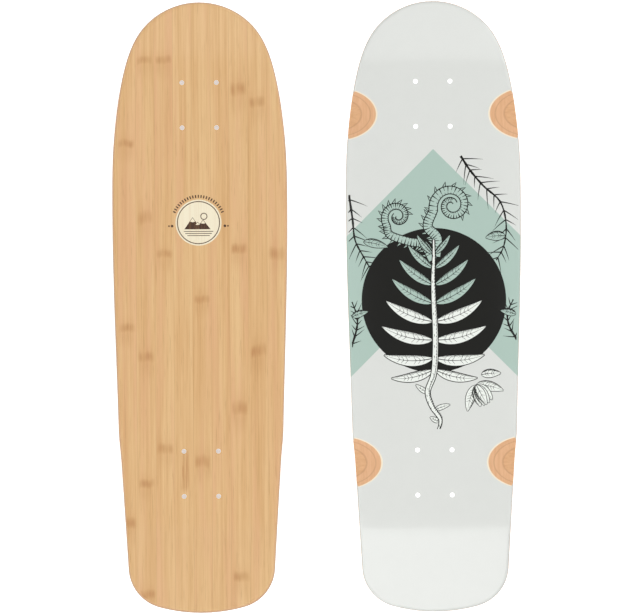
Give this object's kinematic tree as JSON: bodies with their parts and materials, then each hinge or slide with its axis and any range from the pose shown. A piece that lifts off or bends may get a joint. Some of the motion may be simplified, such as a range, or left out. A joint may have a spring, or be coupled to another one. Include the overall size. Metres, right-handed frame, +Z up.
{
  "type": "skateboard deck",
  "caption": "Bare laminated skateboard deck: rounded nose, squarer kicked tail, shallow concave, four sanded wheel wells underneath and a truck bolt pattern near each end.",
  "frame": {"origin": "midway between the two truck hole patterns, on the flat of the underside", "axes": "+X along the board towards the nose, +Z up through the riding face, Y across the board"},
  "size_m": [0.7307, 0.2096, 0.0424],
  "materials": {
    "bamboo": "satin clear lacquer over flat-pressed bamboo",
    "maple_long": "sanded, grain along the board",
    "maple_cross": "sanded, grain across the board",
    "printed_maple": "pale printed face under gloss lacquer"
  },
  "bodies": {
    "root": {"bamboo_strip_01": "bamboo", "bamboo_strip_02": "bamboo", "bamboo_strip_03": "bamboo", "bamboo_strip_04": "bamboo", "bamboo_strip_05": "bamboo", "bamboo_strip_06": "bamboo", "bamboo_strip_07": "bamboo", "bamboo_strip_08": "bamboo", "bamboo_strip_09": "bamboo", "bamboo_strip_10": "bamboo", "upper_core_ply": "maple_long", "upper_cross_ply": "maple_cross", "middle_core_ply": "maple_long", "lower_cross_ply": "maple_cross", "lower_core_ply": "maple_long", "back_ply": "printed_maple"}
  },
  "joints": []
}
